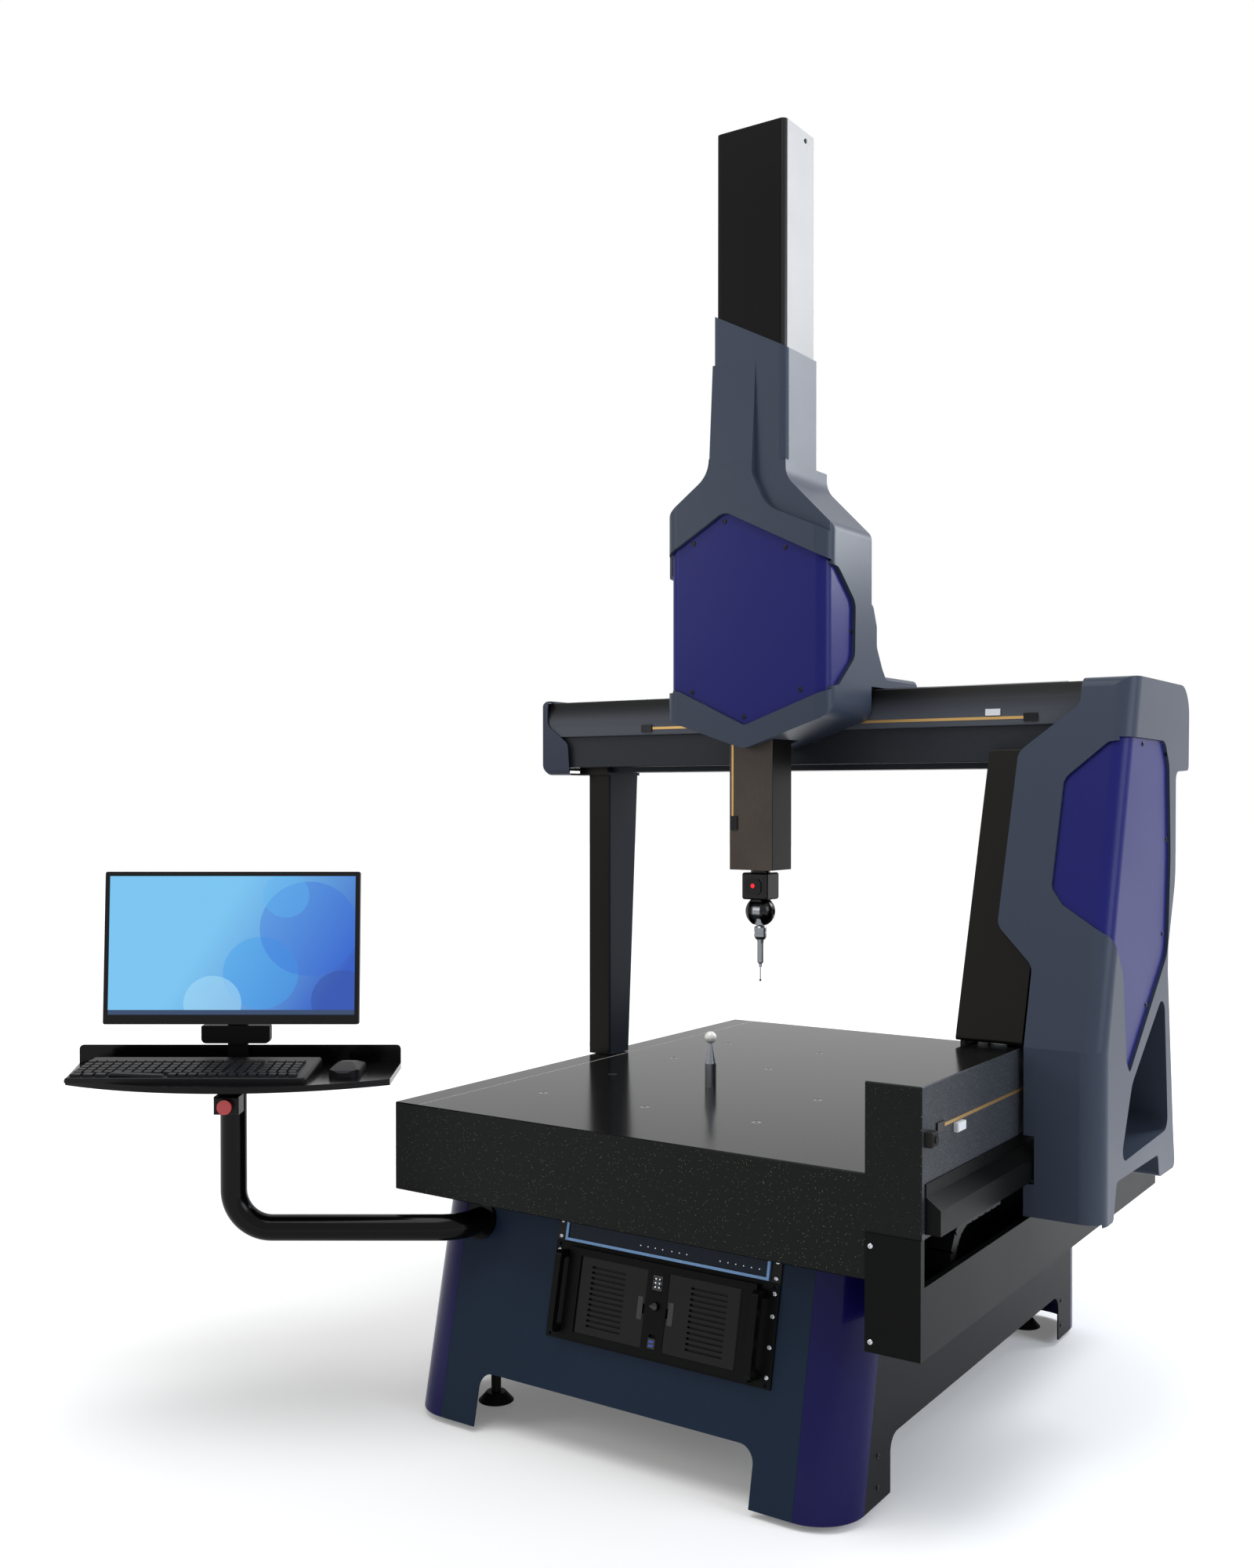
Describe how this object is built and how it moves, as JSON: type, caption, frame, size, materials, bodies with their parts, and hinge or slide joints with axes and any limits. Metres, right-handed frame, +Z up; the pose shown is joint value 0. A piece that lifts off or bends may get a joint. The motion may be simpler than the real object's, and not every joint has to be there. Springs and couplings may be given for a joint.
{
  "type": "coordinate measuring machine",
  "caption": "Bridge-type coordinate measuring machine: granite table on a clad stand, sliding bridge, carriage, ram, indexing probe head and swivelling console.",
  "frame": {"origin": "centre of the overall footprint, on the floor", "axes": "+Z up; -Y to the operator's side, where the rack and console are; +X towards the drive leg"},
  "size_m": [1.8518, 1.8142, 2.58],
  "materials": {
    "granite": "polished",
    "granite_side": "honed",
    "insert_steel": "machined",
    "frame_paint": "satin",
    "panel_blue": "satin",
    "panel_charcoal": "satin",
    "column_indigo": "satin",
    "black_sheet": "satin",
    "black_gloss": "gloss",
    "anodised_black": "brushed",
    "cover_slate": "satin",
    "cover_indigo": "satin",
    "tape_gold": "satin",
    "rubber": "matt",
    "chain_black": "matt",
    "bearing_grey": "machined",
    "motor_black": "satin",
    "roller_steel": "ground",
    "controller_front": "satin",
    "plastic_black": "fine grain",
    "screen": "lit",
    "stop_red": "gloss",
    "probe_steel": "satin",
    "sphere_white": "polished",
    "stylus_steel": "ground"
  },
  "bodies": {
    "base": {"granite_table": "granite", "guide_rail": "granite_side", "table_inserts": "insert_steel", "stand_frame": "frame_paint", "front_panel": "panel_blue", "rear_panel": "panel_charcoal", "side_panels": "panel_charcoal", "corner_columns": "column_indigo", "support_pads": "granite", "levelling_feet": "rubber", "trough_cover": "black_sheet", "drive_channel": "black_sheet", "y_drive_bar": "roller_steel", "cable_chain": "chain_black", "y_scale": "tape_gold", "end_stops": "rubber", "probe_controller": "controller_front", "computer_case": "black_sheet", "ball_stand": "insert_steel", "calibration_ball": "sphere_white", "console_arm": "black_gloss"},
    "left_door": {"left_door": "plastic_black"},
    "right_door": {"right_door": "plastic_black"},
    "console": {"console_tray": "black_gloss", "tray_bracket": "black_sheet", "keyboard_case": "plastic_black", "mouse": "plastic_black", "stop_box": "plastic_black"},
    "stop_button": {"stop_button": "stop_red"},
    "monitor": {"monitor_case": "plastic_black", "monitor_screen": "screen"},
    "bridge": {"drive_leg": "anodised_black", "tower_cover": "cover_slate", "tower_inset": "cover_indigo", "cross_beam": "anodised_black", "left_leg": "anodised_black", "left_end_cap": "cover_slate", "bridge_bearings": "bearing_grey", "x_scale": "tape_gold", "x_drive_bar": "roller_steel", "y_drive_motor": "motor_black"},
    "y_roller": {"y_drive_roller": "roller_steel"},
    "carriage": {"carriage_frame": "anodised_black", "carriage_cover": "cover_slate", "carriage_inset": "cover_indigo", "rear_cover": "cover_slate", "column_cover": "black_sheet", "carriage_bearings": "bearing_grey", "carriage_motors": "motor_black", "balance_cylinder": "bearing_grey"},
    "x_roller": {"x_drive_roller": "roller_steel"},
    "z_roller": {"z_drive_roller": "roller_steel"},
    "ram": {"ram": "anodised_black", "z_scale": "tape_gold", "balance_rod": "roller_steel", "head_body": "probe_steel"},
    "knuckle": {"head_knuckle": "probe_steel"},
    "probe": {"head_ball": "probe_steel", "probe_body": "probe_steel", "stylus": "stylus_steel"}
  },
  "joints": [
    {"name": "y_travel", "type": "slide", "parent": "base", "child": "bridge", "axis": [0, 1, 0], "range_m": [-0.398, 0.42]},
    {"name": "y_roller_turn", "type": "hinge", "parent": "bridge", "child": "y_roller", "pos_m": [0.77478, 0.03327, 0.52695], "axis": [1, 0, 0], "range_deg": [-1431, 1510]},
    {"name": "x_travel", "type": "slide", "parent": "bridge", "child": "carriage", "axis": [1, 0, 0], "range_m": [-0.38, 0.32]},
    {"name": "x_roller_turn", "type": "hinge", "parent": "carriage", "child": "x_roller", "pos_m": [0.18678, 0.25377, 1.46555], "axis": [0, 1, 0], "range_deg": [-1820, 1533]},
    {"name": "z_travel", "type": "slide", "parent": "carriage", "child": "ram", "axis": [0, 0, 1], "range_m": [-0.225, 0.275]},
    {"name": "z_roller_turn", "type": "hinge", "parent": "carriage", "child": "z_roller", "pos_m": [0.18678, 0.12532, 1.6], "axis": [1, 0, 0], "range_deg": [-990, 811]},
    {"name": "head_turn", "type": "hinge", "parent": "ram", "child": "knuckle", "pos_m": [0.18678, 0.05927, 0.992], "axis": [0, 0, 1], "range_deg": [-180, 180]},
    {"name": "head_tilt", "type": "hinge", "parent": "knuckle", "child": "probe", "pos_m": [0.18678, 0.05927, 0.992], "axis": [-1, 0, 0], "range_deg": [0, 105]},
    {"name": "left_door_swing", "type": "hinge", "parent": "base", "child": "left_door", "pos_m": [0.04858, -0.38208, 0.29551], "axis": [0, -0.2149, -0.9766], "range_deg": [0, 90]},
    {"name": "right_door_swing", "type": "hinge", "parent": "base", "child": "right_door", "pos_m": [0.38758, -0.38208, 0.29551], "axis": [0, 0.2149, 0.9766], "range_deg": [0, 90]},
    {"name": "console_swivel", "type": "hinge", "parent": "base", "child": "console", "pos_m": [-0.58022, -0.66673, 0.686], "axis": [0, 0, 1], "range_deg": [-75, 75]},
    {"name": "stop_press", "type": "slide", "parent": "console", "child": "stop_button", "axis": [-0.5614, 0.8276, 0], "range_m": [0, 0.005], "stiffness_N_per_m": 400},
    {"name": "monitor_tilt", "type": "hinge", "parent": "console", "child": "monitor", "pos_m": [-0.65208, -0.59464, 0.903], "axis": [0.8276, 0.5614, 0], "range_deg": [-15, 8]}
  ],
  "couplings": [
    {"joint": "y_roller_turn", "follows": "y_travel", "rad_per_m": 62.5},
    {"joint": "x_roller_turn", "follows": "x_travel", "rad_per_m": 83.333},
    {"joint": "z_roller_turn", "follows": "z_travel", "rad_per_m": -62.5}
  ]
}
